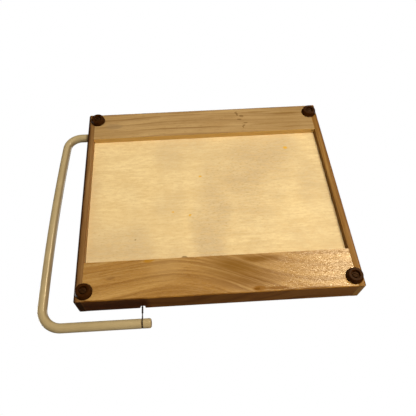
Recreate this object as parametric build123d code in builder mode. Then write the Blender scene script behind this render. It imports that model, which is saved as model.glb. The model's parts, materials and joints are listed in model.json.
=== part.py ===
from build123d import *

import os
from math import acos, atan2, cos, degrees, hypot, pi, radians, sin, sqrt, tan

# Wire cheese board: a wooden board on four rubber feet, with a C-shaped bow hinged in its back rail.
# The bow carries a taut cutting wire that drops into a slot across the board.
# Millimetres. X runs to the user's right, Y to the back, Z up. The origin lies on the table, under the
# centre of the box round the whole object with the bow lowered.

# Board
board_width = 235.0
board_depth = 203.0
board_thickness = 22.0
front_rail_depth = 34.0
back_rail_depth = 33.0
side_strip_width = 6.5
underside_recess = 5.6
surface_thickness = 1.0
side_round = 2.0
corner_ease = 1.0
rail_ease = 0.7

# Rubber feet, tapering to the table
foot_base_diameter = 14.7
foot_tip_diameter = 11.8
foot_height = 4.2
foot_ease = 0.6
foot_recess_diameter = 6.8
foot_recess_depth = 1.9

# Distance of each foot's centre from the board's nearer side and nearer end, set by hand as they are
foot_insets = {
    "foot_front_left": (8.0, 8.8),
    "foot_front_right": (8.2, 8.4),
    "foot_back_left": (8.2, 10.0),
    "foot_back_right": (9.6, 8.6),
}

# Foot screws
screw_shank_diameter = 2.2
screw_head_diameter = 5.2
screw_head_height = 1.2
screw_head_ease = 0.4
screw_slot_width = 0.8
screw_slot_depth = 0.5
screw_slot_angle = 30.0
screw_bite = 10.0
screw_tip_length = 2.0
screw_clearance = 0.05

# Bow rod. Handle reach and handle overhang place its axis outside the board's side and front.
rod_diameter = 8.0
pivot_from_back = 21.0
wire_from_side = 53.3
rod_end_beyond_wire = 7.5
rod_end_round = 1.8
rod_hidden_end_ease = 1.2
handle_overhang = 14.4
handle_reach = 29.2
handle_bend_radius = 17.0
pivot_bend_radius = 14.0
arm_lean = 4.6
bore_clearance = 0.05
bore_end_clearance = 1.3

# Cutting wire, its grooves in the rod and the twist behind each loop
wire_diameter = 0.8
wire_facets = 6
groove_side_clearance = 0.15
groove_seat_clearance = 0.05
loop_reach = 8.4
twist_gap = 0.52
twist_pitch = 3.5
twist_half_turns = 3
lead_length = 1.3
settle_length = 2.4

# Slot that the wire drops into, deepest round the pivot
slot_width = 3.2
mouth_flare = 0.8
mouth_run = 2.0
wire_seat_clearance = 0.3
pocket_clearance = 1.0

rod_radius = rod_diameter / 2
wire_radius = wire_diameter / 2
pivot_height = board_thickness / 2
handle_height = board_thickness - rod_radius
handle_rise = handle_height - pivot_height
pivot_to_handle = board_depth - pivot_from_back + handle_overhang
wire_span = hypot(pivot_to_handle, handle_rise)
bow_tilt = degrees(atan2(handle_rise, pivot_to_handle))

# The box round the object, which sets where the board stands from the origin
board_x = -(handle_reach + rod_radius) / 2
board_y = (handle_overhang + rod_radius) / 2
side_x = board_x + board_width / 2
front_y = board_y - board_depth / 2
back_y = board_y + board_depth / 2
pivot_y = back_y - pivot_from_back
pivot_z = foot_height + pivot_height

os.makedirs("parts", exist_ok=True)

underside = Plane(origin=(board_x, board_y, foot_height))
pivot_mouth = Plane(origin=(side_x, pivot_y, pivot_z), x_dir=(0, 1, 0), z_dir=(1, 0, 0))
bow_plane = Plane(
    origin=(side_x, pivot_y, pivot_z),
    x_dir=(1, 0, 0),
    z_dir=(0, sin(radians(bow_tilt)), cos(radians(bow_tilt))),
)
wire_plane = Plane(
    origin=(side_x - wire_from_side, pivot_y, pivot_z),
    x_dir=(0, -cos(radians(bow_tilt)), sin(radians(bow_tilt))),
    z_dir=(-1, 0, 0),
)

slot_x = board_width / 2 - wire_from_side
inner_width = board_width - 2 * side_strip_width
field_depth = board_depth - front_rail_depth - back_rail_depth
field_y = (front_rail_depth - back_rail_depth) / 2
front_rail_y = (front_rail_depth - board_depth) / 2
back_rail_y = (board_depth - back_rail_depth) / 2
strip_x = (board_width - side_strip_width) / 2
bore_radius = rod_radius + bore_clearance
bore_depth = wire_from_side + rod_end_beyond_wire + bore_end_clearance

twist_radius = wire_radius + twist_gap / 2
twist_length = twist_pitch * twist_half_turns / 2
groove_depth = wire_diameter + 2 * groove_seat_clearance
loop_radius = rod_radius - groove_depth + groove_seat_clearance + wire_radius
pocket_radius = rod_radius + pocket_clearance
twist_end = loop_reach + twist_length


def foot_centre(name):
    """Centre of a foot from the middle of the underside, by the corner in its name."""
    from_side, from_end = foot_insets[name]
    x = board_width / 2 - from_side
    y = board_depth / 2 - from_end
    return (-x if "left" in name else x, -y if "front" in name else y)


def cut_screw_holes(rail):
    """Pilot holes for the foot screws that bite into this rail."""
    places = [foot_centre(name) for name in foot_insets if rail in name]
    with Locations(Plane(underside.origin, x_dir=(1, 0, 0), z_dir=(0, 0, -1))):
        with Locations(*[(x, -y) for x, y in places]):
            Hole(screw_shank_diameter / 2 + screw_clearance, depth=screw_bite + screw_tip_length)


# Outline of the slot seen along X: a sloping floor under the lowered wire, deeper below the twist, and a
# round pocket about the pivot, with an end wall that stops the raised bow
slot_floor = wire_radius + wire_seat_clearance
twist_floor = twist_radius + wire_radius + wire_seat_clearance
with BuildSketch(wire_plane) as slot_outline:
    with BuildLine():
        end_wall = Line((-pocket_radius, board_thickness), (-pocket_radius, 0))
        pocket = JernArc(end_wall @ 1, end_wall % 1, pocket_radius, 90)
        Polyline(
            pocket @ 1,
            (twist_end, -twist_floor),
            (twist_end + settle_length, -slot_floor),
            (wire_span, -slot_floor),
            (wire_span, board_thickness),
            end_wall @ 0,
        )
    make_face()

# The slot's mouth widens towards the front face, over its full depth there
mouth_rise = (board_depth - pivot_from_back) * tan(radians(bow_tilt))
mouth_depth = board_thickness - pivot_height - mouth_rise + slot_floor
mouth_angle = degrees(atan2(mouth_run, mouth_flare))

# Front rail, full thickness between the side strips, with the mouth of the slot
with BuildPart() as front_rail:
    with BuildSketch(underside):
        with Locations((0, front_rail_y)):
            Rectangle(inner_width, front_rail_depth)
    extrude(amount=board_thickness)
    front_arrises = front_rail.faces().sort_by(Axis.Y)[0].edges().filter_by(Axis.X)
    fillet(front_arrises, rail_ease)
    extrude(slot_outline.sketch, amount=slot_width / 2, both=True, mode=Mode.SUBTRACT)
    with BuildSketch(underside.offset(board_thickness)):
        with Locations((slot_x, -board_depth / 2)):
            Trapezoid(slot_width + 4 * mouth_flare, 2 * mouth_run, left_side_angle=mouth_angle)
    extrude(amount=-mouth_depth, mode=Mode.SUBTRACT)
    cut_screw_holes("front")
front_rail.part.label = "front_rail"

# Back rail, with the end of the slot, the pocket round the pivot and the blind bore for the bow
with BuildPart() as back_rail:
    with BuildSketch(underside):
        with Locations((0, back_rail_y)):
            Rectangle(inner_width, back_rail_depth)
    extrude(amount=board_thickness)
    back_arrises = back_rail.faces().sort_by(Axis.Y)[-1].edges().filter_by(Axis.X)
    fillet(back_arrises, rail_ease)
    extrude(slot_outline.sketch, amount=slot_width / 2, both=True, mode=Mode.SUBTRACT)
    with Locations(pivot_mouth):
        Hole(bore_radius, depth=bore_depth)
    cut_screw_holes("back")
back_rail.part.label = "back_rail"

# Side strips over the ends of both rails, rounded along their outer arrises, with eased corners
for name, side in (("left_side_strip", -1), ("right_side_strip", 1)):
    with BuildPart() as side_strip:
        with BuildSketch(underside):
            with Locations((side * strip_x, 0)):
                Rectangle(side_strip_width, board_depth)
        extrude(amount=board_thickness)
        outer_face = side_strip.faces().sort_by(Axis.X)[0 if side < 0 else -1]
        chamfer(outer_face.edges().filter_by(Axis.Z), corner_ease)
        outer_face = side_strip.faces().sort_by(Axis.X)[0 if side < 0 else -1]
        fillet(outer_face.edges().filter_by(Axis.Y), side_round)
        if side > 0:
            with Locations(pivot_mouth):
                Hole(bore_radius, depth=side_strip_width)
    side_strip.part.label = name
    export_step(side_strip.part, "parts/" + name + ".step")

# Plywood base panel glued between the rails, held up from their undersides
with BuildPart() as base_panel:
    with BuildSketch(underside.offset(underside_recess)):
        with Locations((0, field_y)):
            Rectangle(inner_width, field_depth)
    extrude(amount=board_thickness - underside_recess - surface_thickness)
    extrude(slot_outline.sketch, amount=slot_width / 2, both=True, mode=Mode.SUBTRACT)
base_panel.part.label = "base_panel"

# Cutting surface glued on the panel, flush with the rails, in two sheets parted by the slot
surface_plane = underside.offset(board_thickness - surface_thickness)
left_sheet_width = slot_x - slot_width / 2 + inner_width / 2
right_sheet_width = inner_width / 2 - slot_x - slot_width / 2
with BuildPart() as surface_left:
    with BuildSketch(surface_plane):
        with Locations((left_sheet_width / 2 - inner_width / 2, field_y)):
            Rectangle(left_sheet_width, field_depth)
    extrude(amount=surface_thickness)
surface_left.part.label = "surface_left"
with BuildPart() as surface_right:
    with BuildSketch(surface_plane):
        with Locations((inner_width / 2 - right_sheet_width / 2, field_y)):
            Rectangle(right_sheet_width, field_depth)
    extrude(amount=surface_thickness)
surface_right.part.label = "surface_right"

# Bow rod: handle leg, bend, sprung arm, bend and pivot leg, drawn in the plane of the lowered bow
arm_radius = (wire_span - handle_bend_radius - pivot_bend_radius) / sin(radians(arm_lean)) + pivot_bend_radius
rod_end_x = -wire_from_side - rod_end_beyond_wire
with BuildPart() as bow_rod:
    with BuildLine(bow_plane) as rod_line:
        handle_leg = Line((rod_end_x, -wire_span), (handle_reach - handle_bend_radius, -wire_span))
        handle_bend = JernArc(handle_leg @ 1, handle_leg % 1, handle_bend_radius, 90)
        arm = JernArc(handle_bend @ 1, handle_bend % 1, arm_radius, arm_lean)
        pivot_bend = JernArc(arm @ 1, arm % 1, pivot_bend_radius, 90 - arm_lean)
        Line(pivot_bend @ 1, (rod_end_x, 0))
    with BuildSketch(Plane(origin=rod_line.line @ 0, z_dir=rod_line.line % 0)):
        Circle(rod_radius)
    sweep(path=rod_line.line)
    fillet(bow_rod.faces().filter_by(Axis.X).sort_by(Axis.Y)[0].edges(), rod_end_round)
    chamfer(bow_rod.faces().filter_by(Axis.X).sort_by(Axis.Y)[-1].edges(), rod_hidden_end_ease)
    for leg_y in (-wire_span, 0):
        groove_centre = (-wire_from_side, leg_y + rod_radius)
        with BuildSketch(bow_plane):
            with Locations(groove_centre):
                Rectangle(wire_diameter + 2 * groove_side_clearance, 2 * groove_depth)
        leg_origin = bow_plane.from_local_coords((0, leg_y, 0))
        revolve(axis=Axis(leg_origin, bow_plane.x_dir), mode=Mode.SUBTRACT)
bow_rod.part.label = "bow_rod"


def on_wire(along, up, across):
    """Point beside the taut wire: along it from the pivot axis, up square to it, and across the slot."""
    return wire_plane.from_local_coords(Vector(along, up, across))


def wire_direction(along, up, across):
    """Unit direction in the same terms."""
    return (on_wire(along, up, across) - on_wire(0, 0, 0)).normalized()


def biarc(start, start_direction, end, end_direction):
    """Two arcs of wire that join two points, each tangent to its neighbours."""
    chord = end - start
    turn = start_direction + end_direction
    share = turn.dot(turn) - 4
    drift = chord.dot(turn)
    reach = (drift - sqrt(drift * drift - share * chord.dot(chord))) / share
    first = start + start_direction * reach
    last = end - end_direction * reach
    middle = (first + last) / 2
    TangentArc(start, middle, tangent=start_direction)
    TangentArc(middle, end, tangent=(last - first).normalized())


def strand(base, heading, side):
    """One strand of the twist behind a loop, from the loop outwards: its quarter turns as points and
    directions. Base is the loop's axis along the wire and heading points to the other loop."""
    stations = []
    for quarter in range(2 * twist_half_turns + 1):
        angle = quarter * pi / 2
        along = base + heading * (loop_reach + twist_pitch * quarter / 4)
        up = side * twist_radius * cos(angle)
        across = side * twist_radius * sin(angle)
        rise = -side * twist_radius * sin(angle)
        cross = side * twist_radius * cos(angle)
        advance = heading * twist_pitch / (2 * pi)
        stations.append((on_wire(along, up, across), wire_direction(advance, rise, cross)))
    return stations


def draw_strand(stations):
    """Draws a strand through its stations by pairs of tangent arcs."""
    for (start, start_direction), (end, end_direction) in zip(stations, stations[1:]):
        biarc(start, start_direction, end, end_direction)


def reverse(stations):
    """The same strand walked the other way."""
    return [(point, -direction) for point, direction in reversed(stations)]


def draw_loop(base, heading):
    """Wire from the upper strand's start round the groove to the lower strand's start."""
    spread = atan2(twist_radius, loop_reach) + acos(loop_radius / hypot(loop_reach, twist_radius))
    touch_along = heading * loop_radius * cos(spread)
    touch_up = loop_radius * sin(spread)
    upper_touch = on_wire(base + touch_along, touch_up, 0)
    lower_touch = on_wire(base + touch_along, -touch_up, 0)
    far_side = on_wire(base - heading * loop_radius, 0, 0)
    upper_start, upper_heading = strand(base, heading, 1)[0]
    lower_start, lower_heading = strand(base, heading, -1)[0]
    to_rod = (upper_touch - upper_start).normalized()
    from_rod = (lower_start - lower_touch).normalized()
    lead_in = upper_start + to_rod * lead_length
    lead_out = lower_start - from_rod * lead_length
    biarc(upper_start, -upper_heading, lead_in, to_rod)
    Line(lead_in, upper_touch)
    TangentArc(upper_touch, far_side, tangent=to_rod)
    TangentArc(far_side, lower_touch, tangent=wire_direction(0, -1, 0))
    Line(lower_touch, lead_out)
    biarc(lead_out, from_rod, lower_start, lower_heading)


# Cutting wire: one length, looped through the groove at each end of the rod and twisted back on itself
with BuildPart() as cutting_wire:
    with BuildLine() as wire_line:
        handle_tail = strand(wire_span, -1, 1)
        handle_main = strand(wire_span, -1, -1)
        pivot_main = strand(0, 1, 1)
        pivot_tail = strand(0, 1, -1)
        settled_front = on_wire(wire_span - twist_end - settle_length, 0, 0)
        settled_back = on_wire(twist_end + settle_length, 0, 0)
        draw_strand(reverse(handle_tail))
        draw_loop(wire_span, -1)
        draw_strand(handle_main)
        biarc(*handle_main[-1], settled_front, wire_direction(-1, 0, 0))
        Line(settled_front, settled_back)
        biarc(settled_back, wire_direction(-1, 0, 0), *reverse(pivot_main)[0])
        draw_strand(reverse(pivot_main))
        draw_loop(0, 1)
        draw_strand(pivot_tail)
    with BuildSketch(Plane(origin=wire_line.line @ 0, z_dir=wire_line.line % 0)) as wire_section:
        RegularPolygon(radius=wire_radius, side_count=wire_facets)
    sweep(path=wire_line.line, clean=False)
cutting_wire.part.label = "cutting_wire"
print("board at", round(board_x, 3), round(board_y, 3), "right side", round(side_x, 3), "front", round(front_y, 3))
print("pivot", round(pivot_y, 3), round(pivot_z, 3), "tilt", round(bow_tilt, 3))
wire_path = wire_line.wires()[0]
wire_length = wire_path.length
print("wire length", round(wire_length, 1), "volume", round(cutting_wire.part.volume, 2))
print("section times length", round(wire_section.sketch.area * wire_length, 2))

# Least gap between turns that lie further apart along the wire than they could touch by bending
probe_count = 1600
probe_step = wire_length / probe_count
nearest = int(4 * wire_diameter / probe_step) + 1
furthest = int(50 * wire_diameter / probe_step)
probes = [wire_path @ (step / probe_count) for step in range(probe_count + 1)]
gaps = [
    (probes[i] - probes[j]).length - wire_diameter
    for i in range(probe_count)
    for j in range(i + nearest, min(i + furthest, probe_count))
]
print("least gap of the wire to itself", round(min(gaps), 2))

# Rubber feet, with a recess that hides the screw head
for name in foot_insets:
    foot_x, foot_y = foot_centre(name)
    foot_origin = (board_x + foot_x, board_y + foot_y, 0)
    with BuildPart() as foot:
        with BuildSketch(Plane(origin=foot_origin, x_dir=(1, 0, 0), z_dir=(0, -1, 0))):
            with BuildLine():
                Polyline(
                    (screw_shank_diameter / 2 + screw_clearance, foot_height),
                    (foot_base_diameter / 2, foot_height),
                    (foot_tip_diameter / 2, 0),
                    (foot_recess_diameter / 2, 0),
                    (foot_recess_diameter / 2, foot_recess_depth),
                    (screw_shank_diameter / 2 + screw_clearance, foot_recess_depth),
                    close=True,
                )
            make_face()
        revolve(axis=Axis(foot_origin, (0, 0, 1)))
        chamfer(foot.faces().sort_by(Axis.Z)[0].outer_wire().edges(), foot_ease)
    foot.part.label = name
    export_step(foot.part, "parts/" + name + ".step")

# Slotted screws through the feet
with BuildPart() as foot_screws:
    for name in foot_insets:
        foot_x, foot_y = foot_centre(name)
        screw_origin = (board_x + foot_x, board_y + foot_y, foot_recess_depth)
        with BuildSketch(Plane(origin=screw_origin, x_dir=(1, 0, 0), z_dir=(0, -1, 0))):
            with BuildLine():
                shank_top = foot_height - foot_recess_depth + screw_bite
                Polyline(
                    (0, -screw_head_height),
                    (screw_head_diameter / 2 - screw_head_ease, -screw_head_height),
                    (screw_head_diameter / 2, -screw_head_height + screw_head_ease),
                    (screw_head_diameter / 2, 0),
                    (screw_shank_diameter / 2, 0),
                    (screw_shank_diameter / 2, shank_top - screw_tip_length),
                    (0, shank_top),
                    close=True,
                )
            make_face()
        revolve(axis=Axis(screw_origin, (0, 0, 1)))
        head_plane = Plane(origin=(screw_origin[0], screw_origin[1], foot_recess_depth - screw_head_height))
        with BuildSketch(head_plane):
            Rectangle(screw_head_diameter, screw_slot_width, rotation=screw_slot_angle)
        extrude(amount=screw_slot_depth, mode=Mode.SUBTRACT)
foot_screws.part.label = "foot_screws"

for piece in (front_rail, back_rail, base_panel, surface_left, surface_right, bow_rod, cutting_wire, foot_screws):
    export_step(piece.part, "parts/" + piece.part.label + ".step")
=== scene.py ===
import json
from math import acos, atan2, cos, hypot, pi, radians, sin

import bpy
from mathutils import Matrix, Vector

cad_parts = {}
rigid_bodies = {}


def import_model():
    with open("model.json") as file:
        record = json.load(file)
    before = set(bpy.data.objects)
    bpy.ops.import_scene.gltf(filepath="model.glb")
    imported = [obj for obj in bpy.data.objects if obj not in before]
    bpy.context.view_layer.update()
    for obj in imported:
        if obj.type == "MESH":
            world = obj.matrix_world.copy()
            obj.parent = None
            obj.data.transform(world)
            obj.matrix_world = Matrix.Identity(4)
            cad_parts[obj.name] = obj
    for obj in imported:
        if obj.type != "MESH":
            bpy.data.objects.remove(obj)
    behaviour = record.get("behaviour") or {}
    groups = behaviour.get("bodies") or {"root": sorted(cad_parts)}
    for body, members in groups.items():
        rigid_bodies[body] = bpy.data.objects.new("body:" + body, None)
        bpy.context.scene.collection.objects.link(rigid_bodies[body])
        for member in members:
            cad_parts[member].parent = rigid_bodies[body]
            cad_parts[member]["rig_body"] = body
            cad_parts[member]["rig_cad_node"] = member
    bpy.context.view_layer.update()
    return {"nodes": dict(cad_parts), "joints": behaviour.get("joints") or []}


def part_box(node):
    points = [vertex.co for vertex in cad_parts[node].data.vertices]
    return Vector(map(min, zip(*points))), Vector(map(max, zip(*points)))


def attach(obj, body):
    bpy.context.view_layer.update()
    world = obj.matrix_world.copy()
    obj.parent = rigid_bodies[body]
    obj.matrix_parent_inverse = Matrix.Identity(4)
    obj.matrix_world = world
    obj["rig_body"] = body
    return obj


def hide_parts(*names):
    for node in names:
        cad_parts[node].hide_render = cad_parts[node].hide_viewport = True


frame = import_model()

nodes = frame["nodes"]
millimetre = 0.001
print("frame loaded with", len(nodes), "nodes")


# Materials: numbers as plain arithmetic, every other node through one method


class Value:  # one number or vector inside a finish
    def __init__(self, finish, socket):
        self.finish, self.socket = finish, socket

    def pair(self, operation, first, second=0.0):
        return self.finish.node("ShaderNodeMath", {"operation": operation}, {0: first, 1: second})

    def __add__(self, other):
        return self.pair("ADD", self, other)

    def __radd__(self, other):
        return self.pair("ADD", other, self)

    def __sub__(self, other):
        return self.pair("SUBTRACT", self, other)

    def __rsub__(self, other):
        return self.pair("SUBTRACT", other, self)

    def __mul__(self, other):
        return self.pair("MULTIPLY", self, other)

    def __truediv__(self, other):
        return self.pair("DIVIDE", self, other)

    def __pow__(self, other):
        return self.pair("POWER", self, other)

    def __neg__(self):
        return self.pair("MULTIPLY", self, -1.0)

    def __abs__(self):
        return self.pair("ABSOLUTE", self)

    def least(self, other):
        return self.pair("MINIMUM", self, other)

    def most(self, other):
        return self.pair("MAXIMUM", self, other)

    def fraction(self):
        return self.pair("FRACT", self)

    def rise(self, low, high):  # 0 below low, 1 above high, soft between
        limits = {"Value": self, "From Min": low, "From Max": high}
        return self.finish.node("ShaderNodeMapRange", {"interpolation_type": "SMOOTHSTEP"}, limits)


class Finish:  # a node tree under construction, for a material or the studio's surround
    def __init__(self, tree):
        self.tree = tree
        self.tree.nodes.clear()

    def node(self, kind, settings, inputs, output=0):
        made = self.tree.nodes.new(kind)
        for key, setting in settings.items():
            setattr(made, key, setting)
        for key, source in inputs.items():
            if isinstance(source, Value):
                self.tree.links.new(source.socket, made.inputs[key])
            else:
                made.inputs[key].default_value = source
        return Value(self, made.outputs[output]) if len(made.outputs) else None

    def place(self):  # object coordinates in metres
        where = self.node("ShaderNodeTexCoord", {}, {}, "Object")
        return [self.node("ShaderNodeSeparateXYZ", {}, {0: where}, axis) for axis in "XYZ"]

    def facing(self, axis):  # the surface's own direction
        normal = self.node("ShaderNodeTexCoord", {}, {}, "Normal")
        return self.node("ShaderNodeSeparateXYZ", {}, {0: normal}, axis)

    def vector(self, x, y, z):
        return self.node("ShaderNodeCombineXYZ", {}, {0: x, 1: y, 2: z})

    def noise(self, vector, scale, detail, rough=0.5):
        inputs = {"Vector": vector, "Scale": scale, "Detail": detail, "Roughness": rough}
        return self.node("ShaderNodeTexNoise", {"noise_dimensions": "3D"}, inputs)

    def grain(self, place, scales):  # noise by three scales per metre, then its detail and roughness
        *stretch, detail, rough = scales
        drawn = [axis * scale for axis, scale in zip(place, stretch)]
        return self.noise(self.vector(*drawn), 1.0, detail, rough)

    def mix(self, share, first, second, blend="MIX"):
        inputs = {0: share, 6: asColour(first), 7: asColour(second)}
        return self.node("ShaderNodeMix", {"data_type": "RGBA", "blend_type": blend}, inputs, 2)

    def bump(self, height, distance):
        return self.node("ShaderNodeBump", {}, {"Height": height, "Distance": distance, "Strength": 1.0})

    def spot(self, place, centre, size, soft=0.55):  # 1 at the centre of an oval mark, 0 outside
        reach = [(axis - middle) / half for axis, middle, half in zip(place, centre, size)]
        total = reach[0] ** 2.0
        for part in reach[1:]:
            total = total + part ** 2.0
        return 1 - (total ** 0.5).rise(soft, 1.0)

    def surface(self, **inputs):  # the shader, and its way out
        named = {key.replace("_", " "): value for key, value in inputs.items()}
        shader = self.node("ShaderNodeBsdfPrincipled", {}, named)
        self.node("ShaderNodeOutputMaterial", {}, {0: shader})


def asColour(colour):
    return colour if isinstance(colour, Value) else (*colour, 1)


def newFinish(name):
    material = bpy.data.materials.new(name)
    material.use_nodes = True
    return material, Finish(material.node_tree)


# Modelling helpers


def deselectAll():
    if bpy.context.mode != "OBJECT":
        bpy.ops.object.mode_set(mode="OBJECT")
    bpy.ops.object.select_all(action="DESELECT")


def pickOnly(piece):
    deselectAll()
    piece.select_set(True)
    bpy.context.view_layer.objects.active = piece


def applyModifier(piece, kind, **settings):
    pickOnly(piece)
    modifier = piece.modifiers.new(kind.lower(), kind)
    for key, setting in settings.items():
        setattr(modifier, key, setting)
    bpy.ops.object.modifier_apply(modifier=modifier.name)


def settle(piece, smoothAngle=35):  # place goes into the mesh, shading follows the edges
    pickOnly(piece)
    bpy.ops.object.transform_apply(location=True, rotation=True, scale=True)
    bpy.ops.object.shade_smooth_by_angle(angle=radians(smoothAngle))


def dress(piece, material, slotName, body, *replaced):
    piece.data.materials.clear()
    piece.data.materials.append(material)
    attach(piece, body)
    if replaced:
        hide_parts(*replaced)


def ownCopy(model, name):  # with its own mesh
    piece = model.copy()
    piece.data = model.data.copy()
    piece.name = name
    bpy.context.scene.collection.objects.link(piece)
    return piece


softening = {"merge": 0.002 * millimetre, "flat": radians(0.5), "sharp": radians(40), "segments": 2}


def softenedCopy(node, name, softness):  # a CAD solid with its sharp arrises just taken off
    piece = ownCopy(nodes[node], name)
    piece.parent = None
    for key in ("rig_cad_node", "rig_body"):  # the copy isn't a CAD node
        del piece[key]
    pickOnly(piece)
    bpy.ops.object.mode_set(mode="EDIT")
    bpy.ops.mesh.select_all(action="SELECT")
    bpy.ops.mesh.remove_doubles(threshold=softening["merge"])
    bpy.ops.mesh.dissolve_limited(angle_limit=softening["flat"])
    bpy.ops.object.mode_set(mode="OBJECT")
    applyModifier(piece, "BEVEL", width=softness, segments=softening["segments"], limit_method="ANGLE",
                  angle_limit=softening["sharp"], use_clamp_overlap=True)
    settle(piece)
    applyModifier(piece, "WEIGHTED_NORMAL", keep_sharp=True)  # broad faces stay flat in the light
    return piece


def startRing(name, sides, radius, centre, turn=(0, 0, 0)):  # left in edit mode with everything selected
    deselectAll()
    bpy.ops.mesh.primitive_circle_add(vertices=sides, radius=radius, location=centre, rotation=turn)
    piece = bpy.context.object
    piece.name = name
    bpy.ops.object.transform_apply(location=True, rotation=True, scale=True)
    bpy.ops.object.mode_set(mode="EDIT")
    bpy.ops.mesh.select_all(action="SELECT")
    return piece


def growRing(move, centre, scale):  # one more ring of the wall, moved and widened
    bpy.ops.mesh.extrude_region_move(TRANSFORM_OT_translate={"value": move})
    if abs(scale - 1) > 1e-9:
        bpy.ops.transform.resize(value=(scale,) * 3, center_override=centre)


def layRings(stations, start, direction, radius):  # rings along a straight leg, by distance and radius
    at = start
    for distance, newRadius in stations:
        centre = start + direction * distance
        growRing(centre - at, centre, newRadius / radius)
        at, radius = centre, newRadius


def spinRing(steps, angle, centre):  # the spin operator turns clockwise for a positive angle
    bpy.ops.mesh.spin(steps=steps, angle=-angle, center=centre, axis=(0, 0, 1))


weldGap = 0.001 * millimetre


def closeWalls(closing):  # the open rings are bridged, or filled one by one
    bpy.ops.mesh.select_all(action="DESELECT")
    bpy.ops.mesh.select_non_manifold()
    if closing == "bridge":
        bpy.ops.mesh.bridge_edge_loops()
    else:
        bpy.ops.mesh.fill_holes(sides=0)
    bpy.ops.mesh.select_all(action="SELECT")
    bpy.ops.mesh.remove_doubles(threshold=weldGap)
    bpy.ops.mesh.normals_make_consistent(inside=False)
    bpy.ops.object.mode_set(mode="OBJECT")


def turnedSolid(name, sides, stations, closing):  # rings round the vertical axis, by radius and height
    radius, height = stations[0]
    piece = startRing(name, sides, radius, (0, 0, height))
    layRings([(nextHeight - height, nextRadius) for nextRadius, nextHeight in stations[1:]],
             Vector((0, 0, height)), Vector((0, 0, 1)), radius)
    closeWalls(closing)
    return piece


# Camera at the photograph's angle: the board lies face down there, so the camera looks up

photoCamera = {
    "location": (0.01225, -0.21416, -0.31335), "turn": (-148.84, -0.472, -176.693),  # metres, degrees
    "lens": 36.52, "sensor": 36, "shift": (0.04254, 0.02937), "clip": (0.01, 20),
}
deselectAll()
bpy.ops.object.camera_add(location=photoCamera["location"],
                          rotation=[radians(turn) for turn in photoCamera["turn"]])
camera = bpy.context.object
camera.name = "photoCamera"
camera.data.lens, camera.data.sensor_width = photoCamera["lens"], photoCamera["sensor"]
camera.data.shift_x, camera.data.shift_y = photoCamera["shift"]
camera.data.clip_start, camera.data.clip_end = photoCamera["clip"]
bpy.context.scene.camera = camera
print("camera set")


# Studio: soft lamps above and below, a pale floor that shows only from above

studio = {
    "surround": (1.0, 0.86, 0.66), "surroundLight": 0.03,
    "floorRadius": 3.0, "floorSink": 0.05 * millimetre,
    "floorColour": (0.86, 0.85, 0.83), "floorFade": (0.32, 1.15),
    "shadeColour": (0.16, 0.145, 0.13), "shadeFade": (-0.006, 0.016),  # painted shadow under the board
    "lamps": [  # name, place, size, watts, colour, what it lights
        ("lampUnder", (-0.25, -0.04, -1.00), 0.50, 11.3, (1.0, 0.89, 0.66), "matt"),
        ("lampSheen", (-0.55, 0.36, -0.93), 0.24, 9.0, (1.0, 0.80, 0.50), "gloss"),
        ("lampUnderSide", (0.85, 0.20, -0.60), 0.60, 1.2, (1.0, 0.89, 0.70), "matt"),
        ("lampLowFront", (-0.46, -0.46, -0.12), 0.30, 1.1, (1.0, 0.80, 0.50), "matt"),
        ("lampOver", (-0.30, 0.42, 1.15), 0.80, 11.5, (1.0, 0.95, 0.88), "matt"),
        ("lampOverSheen", (-0.95, 0.80, 0.80), 0.60, 5, (1.0, 0.95, 0.88), "gloss"),
        ("lampBack", (-0.35, 1.10, 0.12), 0.70, 3.5, (1.0, 0.95, 0.88), "matt"),
        ("lampOverSide", (0.95, 0.10, 0.75), 0.70, 6.5, (1.0, 0.95, 0.88), "both"),
        ("lampOverFront", (-0.40, -1.10, 0.55), 0.80, 4.5, (1.0, 0.96, 0.90), "matt"),
    ],
}
world = bpy.data.worlds.new("studioSurround")
bpy.context.scene.world = world
world.use_nodes = True
surround = Finish(world.node_tree)
seen = surround.node("ShaderNodeBackground", {}, {"Color": (1, 1, 1, 1), "Strength": 1.0})
lighting = surround.node("ShaderNodeBackground", {},
                         {"Color": asColour(studio["surround"]), "Strength": studio["surroundLight"]})
cameraRay = surround.node("ShaderNodeLightPath", {}, {}, "Is Camera Ray")
blended = surround.node("ShaderNodeMixShader", {}, {0: cameraRay, 1: lighting, 2: seen})
surround.node("ShaderNodeOutputWorld", {}, {0: blended})

for name, place, size, watts, colour, lights in studio["lamps"]:
    deselectAll()
    towards = (-Vector(place)).to_track_quat("-Z", "Y").to_euler()
    bpy.ops.object.light_add(type="AREA", location=place, rotation=towards)
    lamp = bpy.context.object
    lamp.name = name
    lamp.data.shape = "DISK"
    lamp.data.size, lamp.data.energy, lamp.data.color = size, watts, colour
    lamp.visible_diffuse = lights != "gloss"
    lamp.visible_glossy = lights != "matt"
    lamp.visible_camera = False

deselectAll()
bpy.ops.mesh.primitive_circle_add(vertices=96, radius=studio["floorRadius"], fill_type="NGON",
                                  location=(0, 0, -studio["floorSink"]))
floor = bpy.context.object
floor.name = "studioFloor"
floorMaterial, finish = newFinish("paleFloor")
x, y, _ = finish.place()
footprint = [(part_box("left_side_strip")[0].x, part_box("right_side_strip")[1].x),
             (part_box("front_rail")[0].y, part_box("back_rail")[1].y)]
beside = [abs(axis - (low + high) / 2) - (high - low) / 2 for axis, (low, high) in zip((x, y), footprint)]
# painted shadow: the floor is darker under the board and just beyond its edges
outside = beside[0].most(beside[1]).rise(*studio["shadeFade"])
shaded = finish.mix(outside, studio["shadeColour"], studio["floorColour"])
pale = finish.node("ShaderNodeBsdfDiffuse", {}, {"Color": shaded})
clear = finish.node("ShaderNodeBsdfTransparent", {}, {})
underneath = finish.node("ShaderNodeNewGeometry", {}, {}, "Backfacing")
fade = ((x * x + y * y) ** 0.5).rise(*studio["floorFade"])
floorEnd = finish.node("ShaderNodeMixShader", {}, {0: underneath.most(fade), 1: pale, 2: clear})
finish.node("ShaderNodeOutputMaterial", {}, {0: floorEnd})
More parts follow.
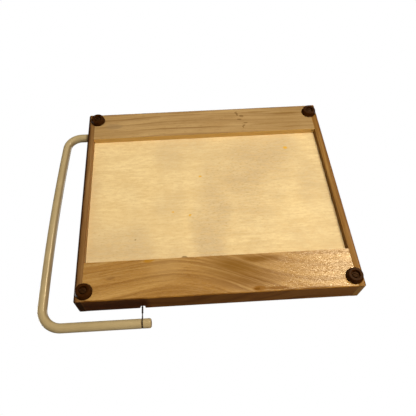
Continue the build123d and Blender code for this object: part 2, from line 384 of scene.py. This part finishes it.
floor.data.materials.append(floorMaterial)
floor.visible_shadow = floor.visible_diffuse = floor.visible_glossy = False
bpy.context.scene.view_settings.view_transform = "Standard"
print("studio lit")


# Wood: growth rings cut through by the board's faces, with fibres and pores along the grain

straightNoises = {  # per metre along the grain, across it and upwards, then detail and roughness
    "drift": (14, 55, 55, 2.0, 0.5), "wander": (60, 260, 260, 3.0, 0.5), "pores": (320, 2600, 2600, 2.0, 0.5),
    "dimples": (260, 1100, 1100, 3.0, 0.6), "cloud": (16, 40, 40, 3.0, 0.55),
}
ringNoises = {  # the same, but following the growth rings
    "streak": (9, 420, 90, 3.0, 0.55), "fibre": (60, 900, 900, 4.0, 0.65),
    "glints": (190, 760, 760, 3.0, 0.6),
}
varnishRules = {  # metres and shares, the same for all the wood
    "show": 0.95, "coat": 0.10, "coatRoughness": 0.24, "wavyEdge": 0.0016, "wallShow": 0.75,
    "glueLine": (0.0003, 0.0007), "glueShow": 0.6,
}
markRules = {  # how stains and knots sit in the wood
    "depth": 0.01, "wobble": (0.008, 0.0018, 0.0), "broadFrom": 0.015,
    "softBroad": 0.1, "softSmall": 0.55, "dulling": 0.35,
}


def woodGrain(finish, look):  # everything that the steps of the wood's colour draw on
    along, across, up = finish.place()
    if look["grain"] == "Y":
        along, across = across, along
    grain = {name: finish.grain((along, across, up), scales) for name, scales in straightNoises.items()}
    drift, wander = grain["drift"] - 0.5, grain["wander"] - 0.5
    swelling = across + up * look["ringTilt"] + drift * look["drift"] + wander * look["wander"]
    for begin, end, height in look["swells"]:  # the figure's lines climb or fall from one end to the other
        swelling = swelling - (-along).rise(-begin, -end) * height
    for name, scales in ringNoises.items():
        grain[name] = finish.grain((along, swelling, up), scales)
    ring = (swelling / look["ringWidth"] + look["ringShift"]).fraction()
    lateWood = (ring.rise(0.20, 0.86) * 0.40 + ring.rise(0.66, 0.88) * 0.60) * (1 - ring.rise(0.90, 1.0))
    grain.update(wander=wander, lateWood=lateWood * (drift * 2.6 + 0.70).most(0.2))
    return grain


def plainColour(finish, look, grain):  # bare wood, without its marks
    colour = finish.mix(grain["cloud"].rise(0.36, 0.64), look["light"], look["mid"])
    for share, tone in (
        (grain["lateWood"] * look["ringShow"], "dark"),
        (grain["streak"].rise(0.48, 0.72) * look["streakShow"], "dark"),
        ((1 - grain["streak"].rise(0.30, 0.46)) * look["streakShow"] * 0.7, "bright"),
        (grain["fibre"].rise(0.50, 0.76) * look["fibreShow"], "dark"),
        ((1 - grain["pores"].rise(0.28, 0.40)) * look["poreShow"], "poreColour"),
        # painted shade in the dips of the glinting relief
        ((1 - grain["glints"].rise(0.24, 0.46)) * 0.35, "dark"),
    ):
        colour = finish.mix(share, colour, look[tone])
    return colour


def markedColour(finish, look, grain, place, underside, colour):  # and how far the marks dull the surface
    raggedness = grain["wander"] + (grain["dimples"] - 0.5) * 0.6
    ragged = [axis + raggedness * spread for axis, spread in zip(place, markRules["wobble"])]
    dull = 0.0
    for centre, size, markColour, share in look["marks"]:
        broad = size[0] > markRules["broadFrom"]
        softness = markRules["softBroad"] if broad else markRules["softSmall"]
        mark = finish.spot(ragged, (*centre, underside), (*size, markRules["depth"]), softness)
        if broad:
            mark = mark * (grain["streak"].rise(0.32, 0.60) * 0.45 + 0.55)
        colour = finish.mix(mark * share, colour, markColour)
        dull = mark * share * markRules["dulling"] + dull
    return colour, dull


def woodFinish(node, name, look):
    material, finish = newFinish(name)
    place, upward = finish.place(), finish.facing(2)
    grain = woodGrain(finish, look)
    low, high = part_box(node)
    axis, sense = look["inward"]
    outerSide, innerSide = (low[axis], high[axis]) if sense > 0 else (high[axis], low[axis])
    colour, dull = plainColour(finish, look, grain), 0.0
    if "marks" in look:
        colour, dull = markedColour(finish, look, grain, place, low.z, colour)

    inward = (finish.facing(axis) * sense).rise(0.5, 0.9)
    creep = abs(place[axis] - outerSide) + grain["wander"] * varnishRules["wavyEdge"]  # from the outer arris
    bare = ((-upward).rise(*look["bareFacing"]) * creep.rise(*look["creep"])).most(inward)
    varnished = 1 - bare
    # the recess walls get colours of their own that paint in their light and shade
    colour = finish.mix(inward, colour, finish.mix(varnishRules["wallShow"], colour, look["wall"]))
    colour = finish.mix(varnished * varnishRules["show"], colour, look["varnish"], "MULTIPLY")
    begin, end, share = look["sootyEnd"]  # darker towards the bow on the varnished sides
    towardsBow = varnished * place[0].rise(begin, end) * (1 - upward.rise(0.2, 0.6))
    colour = finish.mix(towardsBow * share, colour, look["soot"], "MULTIPLY")

    if "endGrain" in look:
        frontEnd = (-finish.facing(1)).rise(0.5, 0.9)
        colour = finish.mix(frontEnd * (grain["streak"] * 0.5 + 0.5), colour, look["endGrain"])
    arris = (-upward).rise(0.12, 0.40) * (1 - (-upward).rise(0.80, 0.99)) * (1 - inward)
    colour = finish.mix(arris * look["arrisShow"] * (grain["wander"] * 3 + 0.8), colour, look["arris"])
    if "glue" in look:  # squeezed out of the joint, it shows as a line on the ends
        line = 1 - abs(place[axis] - innerSide).rise(*varnishRules["glueLine"])
        colour = finish.mix(line * varnished * varnishRules["glueShow"], colour, look["glue"])

    unevenness = (grain["dimples"] - 0.5) * 0.3
    roughness = look["roughness"] + dull + unevenness - varnished * look["varnishGloss"]
    relief = grain["fibre"] * 0.3 + grain["dimples"] * 0.5 + grain["pores"] * 0.2
    relief = (relief + grain["glints"] * look["glint"]) * (0.2 + bare * 0.8)
    finish.surface(Base_Color=colour, Roughness=roughness,
                   Normal=finish.bump(relief, look["bump"] * millimetre),
                   Coat_Weight=varnished * varnishRules["coat"],
                   Coat_Roughness=varnishRules["coatRoughness"], Specular_IOR_Level=look["specular"])
    return material


frontRailWood = {
    "grain": "X", "inward": (1, 1.0),  # the axis and direction that its inner side faces
    "ringWidth": 0.0122, "ringTilt": 0.55, "ringShift": 0.45, "drift": 0.006, "wander": 0.0014,
    "swells": [(0.105, 0.018, 0.0105), (0.022, -0.100, -0.036)],  # from, to, height
    "light": (0.48, 0.282, 0.098), "mid": (0.40, 0.218, 0.066), "dark": (0.215, 0.094, 0.018),
    "bright": (0.62, 0.42, 0.18), "wall": (0.42, 0.20, 0.05), "poreColour": (0.13, 0.055, 0.012),
    "ringShow": 0.62, "streakShow": 0.50, "fibreShow": 0.45, "poreShow": 0.30,
    "varnish": (0.41, 0.28, 0.155), "varnishGloss": -0.12, "bareFacing": (0.62, 0.97),
    "sootyEnd": (0.0385, 0.0450, 0.95), "soot": (0.40, 0.24, 0.07),
    "roughness": 0.27, "bump": 0.30, "specular": 0.42, "glint": 0.62,
    "creep": (0.0003, 0.0008), "arris": (0.44, 0.21, 0.028), "arrisShow": 0.8,
    "marks": [  # centre and half size on the underside, colour, share
        ((0.0412, -0.0586), (0.0054, 0.0036), (0.40, 0.185, 0.004), 0.95),  # glue stain by the panel
        ((-0.0920, -0.0912), (0.0330, 0.0010), (0.16, 0.060, 0.008), 0.80),  # dark line by the arris
        ((-0.0310, -0.0690), (0.0420, 0.0200), (0.215, 0.095, 0.005), 1.00),  # redder bands
        ((-0.0540, -0.0630), (0.0280, 0.0052), (0.20, 0.085, 0.005), 0.90),
        ((-0.0430, -0.0820), (0.0380, 0.0120), (0.20, 0.085, 0.010), 0.85),
        ((0.0270, -0.0640), (0.0230, 0.0240), (0.60, 0.40, 0.18), 0.32),  # paler stretch
        ((0.0715, -0.0735), (0.0040, 0.0022), (0.20, 0.090, 0.020), 0.50),
        ((-0.0475, -0.0894), (0.0080, 0.0028), (0.26, 0.110, 0.010), 0.85),  # knot by the arris
        ((-0.0455, -0.0894), (0.0040, 0.0013), (0.16, 0.060, 0.004), 0.70),
        ((-0.0625, -0.0897), (0.0110, 0.0015), (0.22, 0.090, 0.008), 0.85),  # its tail
        ((0.0670, -0.0720), (0.0200, 0.0030), (0.28, 0.135, 0.035), 0.30),  # smudges towards the bow
        ((0.0880, -0.0640), (0.0090, 0.0020), (0.28, 0.135, 0.035), 0.30),
    ],
}
backRailWood = {
    "grain": "X", "inward": (1, -1.0),
    "ringWidth": 0.0088, "ringTilt": 0.35, "ringShift": 0.15, "drift": 0.004, "wander": 0.0006,
    "swells": [(0.100, 0.010, 0.0040), (0.000, -0.120, -0.0050)],
    "light": (0.49, 0.335, 0.165), "mid": (0.43, 0.28, 0.126), "dark": (0.215, 0.108, 0.033),
    # the back rail's wall is painted a lit orange: painted light
    "bright": (0.56, 0.41, 0.22), "wall": (0.74, 0.49, 0.17), "poreColour": (0.13, 0.060, 0.018),
    "ringShow": 0.62, "streakShow": 0.36, "fibreShow": 0.40, "poreShow": 0.25,
    "varnish": (0.34, 0.23, 0.14), "varnishGloss": 0.14, "bareFacing": (0.62, 0.97),
    "sootyEnd": (0.060, 0.100, 0.3), "soot": (0.42, 0.28, 0.18),
    "roughness": 0.64, "bump": 0.05, "specular": 0.35, "glint": 0.2,
    "creep": (0.0004, 0.0013), "arris": (0.36, 0.19, 0.05), "arrisShow": 0.4,
    "marks": [
        ((0.0750, 0.0935), (0.0110, 0.0045), (0.30, 0.205, 0.115), 0.55),  # grey patch near the corner
        ((-0.1150, 0.0940), (0.0850, 0.0400), (0.26, 0.155, 0.055), 0.30),  # painted shade, darker towards this end
        ((0.0040, 0.1093), (0.0450, 0.0032), (0.24, 0.130, 0.034), 0.70),  # dark bands beside the figure
        ((-0.0720, 0.1046), (0.0240, 0.0020), (0.22, 0.115, 0.030), 0.65),
        ((-0.1030, 0.1012), (0.0240, 0.0024), (0.22, 0.115, 0.030), 0.65),
        ((-0.0760, 0.0873), (0.0220, 0.0016), (0.22, 0.115, 0.030), 0.60),
        ((-0.1060, 0.0825), (0.0210, 0.0018), (0.22, 0.115, 0.030), 0.60),
        ((-0.0515, 0.1035), (0.0013, 0.0042), (0.13, 0.060, 0.018), 0.65),  # small cracks
        ((-0.0560, 0.1000), (0.0022, 0.0020), (0.13, 0.060, 0.018), 0.55),
        ((-0.0535, 0.0955), (0.0030, 0.0011), (0.13, 0.060, 0.018), 0.60),
        ((-0.0590, 0.0905), (0.0034, 0.0011), (0.13, 0.060, 0.018), 0.55),
        ((-0.0560, 0.0862), (0.0012, 0.0036), (0.13, 0.060, 0.018), 0.60),
    ],
}
rightStripWood = {
    "grain": "Y", "inward": (0, -1.0),
    "ringWidth": 0.0031, "ringTilt": 0.8, "ringShift": 0.2, "drift": 0.004, "wander": 0.0006, "swells": [],
    "light": (0.285, 0.155, 0.060), "mid": (0.24, 0.125, 0.044), "dark": (0.15, 0.068, 0.020),
    "bright": (0.40, 0.24, 0.11), "wall": (0.34, 0.18, 0.06), "poreColour": (0.07, 0.03, 0.010),
    "ringShow": 0.70, "streakShow": 0.6, "fibreShow": 0.4, "poreShow": 0.3,
    "varnish": (0.17, 0.095, 0.040), "varnishGloss": 0.12, "bareFacing": (0.50, 0.95),
    "sootyEnd": (0.030, 0.058, 0.5), "soot": (0.42, 0.28, 0.18),
    "roughness": 0.62, "bump": 0.06, "specular": 0.25, "glint": 0.2,
    "creep": (0.0010, 0.0034), "arris": (0.20, 0.09, 0.02), "arrisShow": 0.0, "glue": (0.17, 0.088, 0.028),
}
leftStripWood = dict(
    rightStripWood, inward=(0, 1.0), light=(0.295, 0.15, 0.034), mid=(0.25, 0.116, 0.019),
    # the left strip's wall is painted dark: painted shade
    dark=(0.15, 0.062, 0.009), bright=(0.44, 0.27, 0.080), wall=(0.17, 0.072, 0.001),
    varnish=(0.86, 0.72, 0.42), glue=(0.05, 0.022, 0.004), endGrain=(0.27, 0.152, 0.050),
    arris=(0.10, 0.045, 0.008), arrisShow=0.7,
)

arrisSoftness = 0.22 * millimetre
woodenPieces = [
    ("front_rail", "frontRail", frontRailWood, "rail_wood"),
    ("back_rail", "backRail", backRailWood, "rail_wood"),
    ("right_side_strip", "rightSideStrip", rightStripWood, "strip_wood"),
    ("left_side_strip", "leftSideStrip", leftStripWood, "strip_wood"),
]
for node, name, look, slotName in woodenPieces:
    piece = softenedCopy(node, name, arrisSoftness)
    dress(piece, woodFinish(node, name + "Wood", look), slotName, "board", node)
print("rails and strips dressed")


# Base panel of pale plywood, with a watery figure, soiled patches and a few amber spots

panelLook = {
    "light": (0.87, 0.71, 0.44), "mid": (0.72, 0.535, 0.285), "pale": (0.93, 0.79, 0.51),
    "grey": (0.53, 0.405, 0.275), "dark": (0.48, 0.32, 0.14),
    "fibreShow": 0.30, "figureShow": 0.58, "cloudShow": 0.42, "speckShow": 0.48,
    "roughness": 0.62, "bump": 0.05 * millimetre, "softness": 0.12 * millimetre,
    "soiled": [  # centre and half size on the underside, share of grey
        (-0.022, -0.012, 0.026, 0.100, 0.85), (-0.020, -0.050, 0.030, 0.030, 0.70),
        (-0.068, 0.045, 0.060, 0.060, 0.95), (-0.060, -0.005, 0.040, 0.060, 0.60),
        (0.080, -0.045, 0.050, 0.040, 0.50),
    ],
    "spotColour": (0.76, 0.45, 0.05),
    "spots": [  # centre, radius
        (-0.0954, 0.0597, 0.0022), (-0.0084, 0.0292, 0.0014), (0.0188, -0.0093, 0.0010),
        (0.0036, -0.0134, 0.0013),
    ],
    "darkSpotColour": (0.30, 0.20, 0.09),
    "darkSpots": [  # centre, half size, share
        (0.0105, -0.0553, 0.0034, 0.0010, 1.0), (0.0525, -0.0360, 0.0009, 0.0012, 0.7),
    ],
}
panelNoises = {  # per metre along the grain, across it and upwards, then detail and roughness
    "figure": (24, 120, 60, 4.0, 0.65), "fibre": (55, 1100, 1100, 3.0, 0.6),
    "speck": (300, 1150, 900, 2.0, 0.5), "flecks": (520, 620, 600, 2.0, 0.6),
    "ripple": (150, 430, 300, 3.0, 0.55),
}
panelMaterial, finish = newFinish("panelPlywood")
place = finish.place()
along, across, _ = place
figure, fibre, speck, flecks, ripple = [finish.grain(place, scales) for scales in panelNoises.values()]
cloud = finish.grain((along, across, 1.0), (17, 11, 0.62, 2.0, 0.5))  # the same at every height
colour = finish.mix(figure.rise(0.36, 0.64) * panelLook["figureShow"], panelLook["light"], panelLook["mid"])
colour = finish.mix(cloud.rise(0.42, 0.66) * panelLook["cloudShow"], colour, panelLook["grey"])
drifting = [along + (cloud - 0.5) * 0.10, across + (figure - 0.5) * 0.05]
grime = 0.0
for x, y, width, depth, share in panelLook["soiled"]:
    patch = finish.spot(drifting, (x, y), (width, depth), 0.1)
    grime = patch * share + grime
    colour = finish.mix(patch * share * (figure * 0.7 + 0.3), colour, panelLook["grey"])
dashes = speck.rise(0.56, 0.68) * (0.06 + grime.least(1.0) * 1.1)
for share, tone in (
    (fibre.rise(0.50, 0.78) * panelLook["fibreShow"], "dark"),
    (ripple.rise(0.44, 0.62) * 0.45, "mid"),
    ((1 - ripple.rise(0.30, 0.52)) * 0.15, "pale"),
    (flecks.rise(0.50, 0.72) * 0.16, "dark"),
    (dashes * panelLook["speckShow"], "dark"),
):
    colour = finish.mix(share, colour, panelLook[tone])
ragged = [along + (speck - 0.5) * 0.003, across + (fibre - 0.5) * 0.002]
for x, y, size in panelLook["spots"]:
    colour = finish.mix(finish.spot(ragged, (x, y), (size * 1.25, size)), colour, panelLook["spotColour"])
for x, y, width, depth, share in panelLook["darkSpots"]:
    spot = finish.spot(ragged, (x, y), (width, depth))
    colour = finish.mix(spot * share, colour, panelLook["darkSpotColour"])
finish.surface(Base_Color=colour, Roughness=panelLook["roughness"] + (fibre - 0.5) * 0.2,
               Normal=finish.bump(fibre * 0.7 + figure * 0.3, panelLook["bump"]))
panel = softenedCopy("base_panel", "basePanel", panelLook["softness"])
dress(panel, panelMaterial, "panel_plywood", "board", "base_panel")
print("panel dressed")


# Cutting surface: cream sheet, faintly mottled and scored by the wire and knives

sheetLook = {
    "light": (0.80, 0.735, 0.60), "mid": (0.74, 0.665, 0.52), "score": (0.56, 0.48, 0.36),
    "roughness": 0.42, "coat": 0.08, "bump": 0.03 * millimetre, "softness": 0.15 * millimetre,
}
sheetMaterial, finish = newFinish("surfaceSheet")
along, across, up = finish.place()
whole = finish.vector(along, across, up)
mottle = finish.noise(whole, 90.0, 4.0, 0.6)
grit = finish.noise(whole, 1800.0, 2.0, 0.5)
bent = finish.noise(finish.vector(along, across, 0.0), 7.0, 1.0) * 0.05
lengthwise = finish.vector((along + bent) * 900, (across + bent) * 14, 2.0)
crosswise = finish.vector((along - bent) * 30, (across + along * 0.4) * 700, 5.0)
scores, crossScores = [finish.noise(lines, 1.0, 1.0, 0.4) for lines in (lengthwise, crosswise)]
scored = (scores.rise(0.72, 0.80) + crossScores.rise(0.74, 0.82)).least(1.0)
colour = finish.mix(mottle.rise(0.35, 0.65), sheetLook["light"], sheetLook["mid"])
colour = finish.mix(scored * 0.35, colour, sheetLook["score"])
finish.surface(Base_Color=colour, Roughness=sheetLook["roughness"] + grit * 0.08 + scored * 0.2,
               Normal=finish.bump(grit * 0.3 - scored, sheetLook["bump"]),
               Coat_Weight=sheetLook["coat"], Coat_Roughness=0.25)
for node, name in (("surface_left", "surfaceLeft"), ("surface_right", "surfaceRight")):
    sheet = softenedCopy(node, name, sheetLook["softness"])
    dress(sheet, sheetMaterial, "surface_laminate", "board", node)
print("cutting surface dressed")


# Bow rod: one ring of the section carried round the bow, with a groove near each end

rodLook = {
    "radius": 4.0 * millimetre, "sides": 64,
    "wireFromSide": 53.3 * millimetre, "beyondWire": 7.5 * millimetre,
    "endRound": 1.8 * millimetre, "endSteps": 6, "hiddenEase": 1.2 * millimetre,
    "grooveHalfWidth": 0.55 * millimetre, "grooveDepth": 0.9 * millimetre, "grooveEase": 0.12 * millimetre,
    "handleBend": 17.0 * millimetre, "pivotBend": 14.0 * millimetre, "armLean": radians(4.6),
    "bendSteps": 28, "armSteps": 32,
    "paint": (0.475, 0.385, 0.235), "worn": (0.41, 0.325, 0.19), "grime": (0.20, 0.13, 0.06),
    "grimeInside": 0.7, "grimeByBoard": (0.0008, 0.0040), "grimeByWire": (0.0004, 0.0011),  # metres away
    "roughness": 0.42, "coat": 0.35,
}
rodRadius, endRound, lean = rodLook["radius"], rodLook["endRound"], rodLook["armLean"]
pivot = Vector(frame["joints"][0]["pos_m"])
rodLow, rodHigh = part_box("bow_rod")
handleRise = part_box("front_rail")[1].z - rodRadius - pivot.z
pivotToHandle = pivot.y - rodLow.y - rodRadius
wireSpan = hypot(pivotToHandle, handleRise)
bowTilt = atan2(handleRise, pivotToHandle)
handleReach = rodHigh.x - rodRadius - pivot.x
wireX = pivot.x - rodLook["wireFromSide"]


def grooveStations(middle):  # distance along the leg, and radius there
    half, depth, ease = (rodLook[key] for key in ("grooveHalfWidth", "grooveDepth", "grooveEase"))
    outer, inner = rodRadius, rodRadius - depth
    halfGroove = [(-half - ease, outer), (-half, outer - ease), (-half, inner + ease), (-half + ease, inner)]
    otherHalf = [(-distance, radius) for distance, radius in reversed(halfGroove)]
    return [(middle + distance, radius) for distance, radius in halfGroove + otherHalf]


def bentRod():  # drawn flat from the handle's end, with the pivot's line on Y = 0
    handleY, endX = -wireSpan, -rodLook["wireFromSide"] - rodLook["beyondWire"]
    capRadius, handleBend, pivotBend = rodRadius - endRound, rodLook["handleBend"], rodLook["pivotBend"]
    rod = startRing("bowRod", rodLook["sides"], capRadius, (endX, handleY, 0), (0, radians(90), 0))
    turns = [step / rodLook["endSteps"] * pi / 2 for step in range(1, rodLook["endSteps"] + 1)]
    rounding = [(endRound * (1 - cos(turn)), capRadius + endRound * sin(turn)) for turn in turns]
    bendX = handleReach - handleBend
    handleLeg = rounding + grooveStations(rodLook["beyondWire"]) + [(bendX - endX, rodRadius)]
    layRings(handleLeg, Vector((endX, handleY, 0)), Vector((1, 0, 0)), capRadius)

    armFoot = Vector((handleReach, handleY + handleBend, 0))
    armRadius = (wireSpan - handleBend - pivotBend) / sin(lean) + pivotBend  # the wire's pull bows the arm
    armHead = armFoot + Vector((cos(lean) - 1, sin(lean), 0)) * armRadius
    bendCentre = armHead - Vector((cos(lean), sin(lean), 0)) * pivotBend
    spinRing(rodLook["bendSteps"], radians(90), (bendX, armFoot.y, 0))
    spinRing(rodLook["armSteps"], lean, (armFoot.x - armRadius, armFoot.y, 0))
    spinRing(rodLook["bendSteps"], radians(90) - lean, bendCentre)

    legStart = Vector((bendCentre.x, 0, 0))
    legLength = legStart.x - endX
    ease = rodLook["hiddenEase"]
    pivotLeg = grooveStations(legStart.x + rodLook["wireFromSide"])
    pivotLeg += [(legLength - ease, rodRadius), (legLength, rodRadius - ease)]
    layRings(pivotLeg, legStart, Vector((-1, 0, 0)), rodRadius)
    closeWalls("fill")
    rod.rotation_euler = (-bowTilt, 0, 0)
    rod.location = pivot
    settle(rod)
    return rod


bowRod = bentRod()
rodMaterial, finish = newFinish("creamRodPaint")
place = finish.place()
whole = finish.vector(*place)
peel = finish.noise(whole, 420.0, 2.0, 0.5)
cloudy = finish.noise(whole, 45.0, 4.0, 0.6)
scuff = finish.noise(whole, 900.0, 3.0, 0.6)
# painted shade on the side that faces the board
inside = (-finish.facing(0)).rise(0.15, 0.95)
nearBoard = 1 - abs(place[0] - (pivot.x + 1 * millimetre)).rise(*rodLook["grimeByBoard"])
nearWire = 1 - abs(place[0] - wireX).rise(*rodLook["grimeByWire"])
colour = finish.mix(cloudy.rise(0.38, 0.66) * 0.6, rodLook["paint"], rodLook["worn"])
# grime by the board and round the wire's groove, and painted shade on the side facing the board
for share in (inside * rodLook["grimeInside"], nearBoard * place[1].rise(0.05, 0.06) * 0.7, nearWire * 0.85):
    colour = finish.mix(share, colour, rodLook["grime"])
roughness = rodLook["roughness"] + scuff.rise(0.55, 0.75) * 0.15 + cloudy * 0.06
finish.surface(Base_Color=colour, Roughness=roughness, Normal=finish.bump(peel, 0.006 * millimetre),
               Coat_Weight=rodLook["coat"], Coat_Roughness=0.16, Specular_IOR_Level=0.35)
dress(bowRod, rodMaterial, "rod_paint", "bow", "bow_rod")
print("bow rod bent")


# Cutting wire: looped in both grooves and twisted tightly back on itself

wireLook = {
    "radius": 0.40 * millimetre, "seat": 0.05 * millimetre, "twistReach": 8.4 * millimetre,
    "twistPitch": 2.9 * millimetre, "halfTurns": 4, "twistRadius": 0.42 * millimetre,
    "stepsInTurn": 18, "stepsInLoop": 40,
    "colour": (0.055, 0.045, 0.038), "bright": (0.16, 0.14, 0.12), "roughness": 0.42,
}
loopRadius = rodRadius - rodLook["grooveDepth"] + wireLook["seat"] + wireLook["radius"]


def twistStrand(base, heading, side):  # points along the bow's line, up and across, from the loop inwards
    wanted = ("twistReach", "twistPitch", "twistRadius", "stepsInTurn")
    reach, pitch, around, inTurn = (wireLook[key] for key in wanted)
    points = []
    for step in range(wireLook["halfTurns"] * inTurn // 2 + 1):
        angle = step / inTurn * 2 * pi
        points.append((base + heading * (reach + pitch * step / inTurn),
                       side * around * cos(angle), side * around * sin(angle)))
    return points


def loopRound(base, heading):  # round the rod, from one strand's tangent to the other's
    reach, around, steps = (wireLook[key] for key in ("twistReach", "twistRadius", "stepsInLoop"))
    spread = atan2(around, reach) + acos(loopRadius / hypot(reach, around))
    angles = [spread + (2 * pi - 2 * spread) * step / steps for step in range(steps + 1)]
    return [(base + heading * loopRadius * cos(angle), loopRadius * sin(angle), 0.0) for angle in angles]


route = (twistStrand(wireSpan, -1, 1)[::-1] + loopRound(wireSpan, -1) + twistStrand(wireSpan, -1, -1)
         + twistStrand(0.0, 1, 1)[::-1] + loopRound(0.0, 1) + twistStrand(0.0, 1, -1))
deselectAll()
bpy.ops.curve.primitive_bezier_curve_add()
wire = bpy.context.object
wire.name = "cuttingWire"
wire.location = (0, 0, 0)
wire.data.splines.clear()
spline = wire.data.splines.new("POLY")
spline.points.add(len(route) - 1)
for point, (along, up, across) in zip(spline.points, route):
    y = -along * cos(bowTilt) + up * sin(bowTilt)
    z = along * sin(bowTilt) + up * cos(bowTilt)
    point.co = (wireX - across, pivot.y + y, pivot.z + z, 1)
wire.data.dimensions = "3D"
wire.data.bevel_depth = wireLook["radius"]
wire.data.bevel_resolution = 4
wire.data.use_fill_caps = True
pickOnly(wire)
bpy.ops.object.convert(target="MESH")
wire = bpy.context.object
settle(wire, 60)

wireMaterial, finish = newFinish("wireSteel")
place = finish.place()
draw = finish.grain(place, (3000, 60, 3000, 2.0, 0.5))  # drawn lines along the wire
tarnish = finish.noise(finish.vector(*place), 300.0, 3.0, 0.6)
colour = finish.mix(tarnish.rise(0.40, 0.65), wireLook["bright"], wireLook["colour"])
finish.surface(Base_Color=colour, Metallic=0.8, Roughness=wireLook["roughness"] + draw * 0.2,
               Normal=finish.bump(draw, 0.01 * millimetre))
dress(wire, wireMaterial, "wire_steel", "bow", "cutting_wire")
print("wire wound")


# Rubber feet, and the slotted screws that go in from below

footLook = {
    "baseRadius": 7.35 * millimetre, "tipRadius": 5.9 * millimetre, "recessRadius": 3.4 * millimetre,
    "recessDepth": 1.9 * millimetre, "boreRadius": 1.15 * millimetre, "height": 4.2 * millimetre,
    "sides": 72, "roundWidth": 0.55 * millimetre, "roundSteps": 4,
    "colour": (0.029, 0.0078, 0.0004), "dusty": (0.050, 0.0165, 0.0015), "roughness": 0.44,
}
screwLook = {
    "headRadius": 2.6 * millimetre, "headHeight": 1.2 * millimetre, "domeRise": 0.4 * millimetre,
    "shankRadius": 1.1 * millimetre, "bite": 10.0 * millimetre, "tip": 2.0 * millimetre,
    "tipRadius": 0.1 * millimetre, "domeShares": (0.08, 0.3, 0.5, 0.7, 0.85, 1.0),
    "slotWidth": 0.8 * millimetre, "slotDepth": 0.5 * millimetre, "slotTurn": radians(30), "sides": 48,
    "colour": (0.040, 0.015, 0.003), "rust": (0.030, 0.009, 0.001), "roughness": 0.50,
}


def shapedFoot():  # at the origin, its tip down
    look = footLook
    stations = [(look["boreRadius"], look["height"]), (look["baseRadius"], look["height"]),
                (look["tipRadius"], 0), (look["recessRadius"], 0),
                (look["recessRadius"], look["recessDepth"]), (look["boreRadius"], look["recessDepth"])]
    foot = turnedSolid("footModel", look["sides"], stations, "bridge")
    applyModifier(foot, "BEVEL", width=look["roundWidth"], segments=look["roundSteps"], limit_method="ANGLE",
                  angle_limit=radians(30), use_clamp_overlap=True)
    return foot


def shapedScrew():  # seated in the foot's recess, its head down
    look = screwLook
    seat = footLook["recessDepth"]
    crown, shankTop = seat - look["headHeight"], look["bite"] + footLook["height"]
    turns = [share * pi / 2 for share in look["domeShares"]]
    dome = [(look["headRadius"] * sin(turn), crown + look["domeRise"] * (1 - cos(turn))) for turn in turns]
    stations = dome + [(look["headRadius"], seat), (look["shankRadius"], seat),
                       (look["shankRadius"], shankTop - look["tip"]), (look["tipRadius"], shankTop)]
    screw = turnedSolid("screwModel", look["sides"], stations, "fill")
    deselectAll()
    bpy.ops.mesh.primitive_cube_add(size=1, location=(0, 0, crown), rotation=(0, 0, look["slotTurn"]))
    cutter = bpy.context.object
    cutter.scale = (3 * look["headRadius"], look["slotWidth"], 2 * look["slotDepth"])
    applyModifier(screw, "BOOLEAN", object=cutter, operation="DIFFERENCE", solver="EXACT")
    bpy.data.objects.remove(cutter)
    return screw


rubberMaterial, finish = newFinish("footRubber")
whole = finish.vector(*finish.place())
grit = finish.noise(whole, 1500.0, 3.0, 0.6)
dust = finish.noise(whole, 260.0, 4.0, 0.65)
colour = finish.mix(dust.rise(0.42, 0.72) * 0.7, footLook["colour"], footLook["dusty"])
finish.surface(Base_Color=colour, Roughness=footLook["roughness"] + dust * 0.22,
               Normal=finish.bump(grit, 0.03 * millimetre), Specular_IOR_Level=0.12)

screwMaterial, finish = newFinish("screwSteel")
pitted = finish.noise(finish.vector(*finish.place()), 900.0, 3.0, 0.6)
colour = finish.mix(pitted.rise(0.42, 0.66), screwLook["colour"], screwLook["rust"])
finish.surface(Base_Color=colour, Metallic=0.4, Roughness=screwLook["roughness"] + pitted * 0.25,
               Normal=finish.bump(pitted, 0.03 * millimetre), Specular_IOR_Level=0.25)

footModel, screwModel = shapedFoot(), shapedScrew()
for node in sorted(name for name in nodes if name.startswith("foot_") and name != "foot_screws"):
    corner = node.removeprefix("foot_").title().replace("_", "")
    low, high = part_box(node)
    foot, screw = ownCopy(footModel, "foot" + corner), ownCopy(screwModel, "screw" + corner)
    foot.location = screw.location = ((low.x + high.x) / 2, (low.y + high.y) / 2, 0)
    settle(foot, 40)
    settle(screw, 30)
    dress(foot, rubberMaterial, "foot_rubber", "board", node)
    dress(screw, screwMaterial, "screw_steel", "board")
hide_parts("foot_screws")
for model in (footModel, screwModel):
    bpy.data.objects.remove(model)
print("feet and screws fitted")
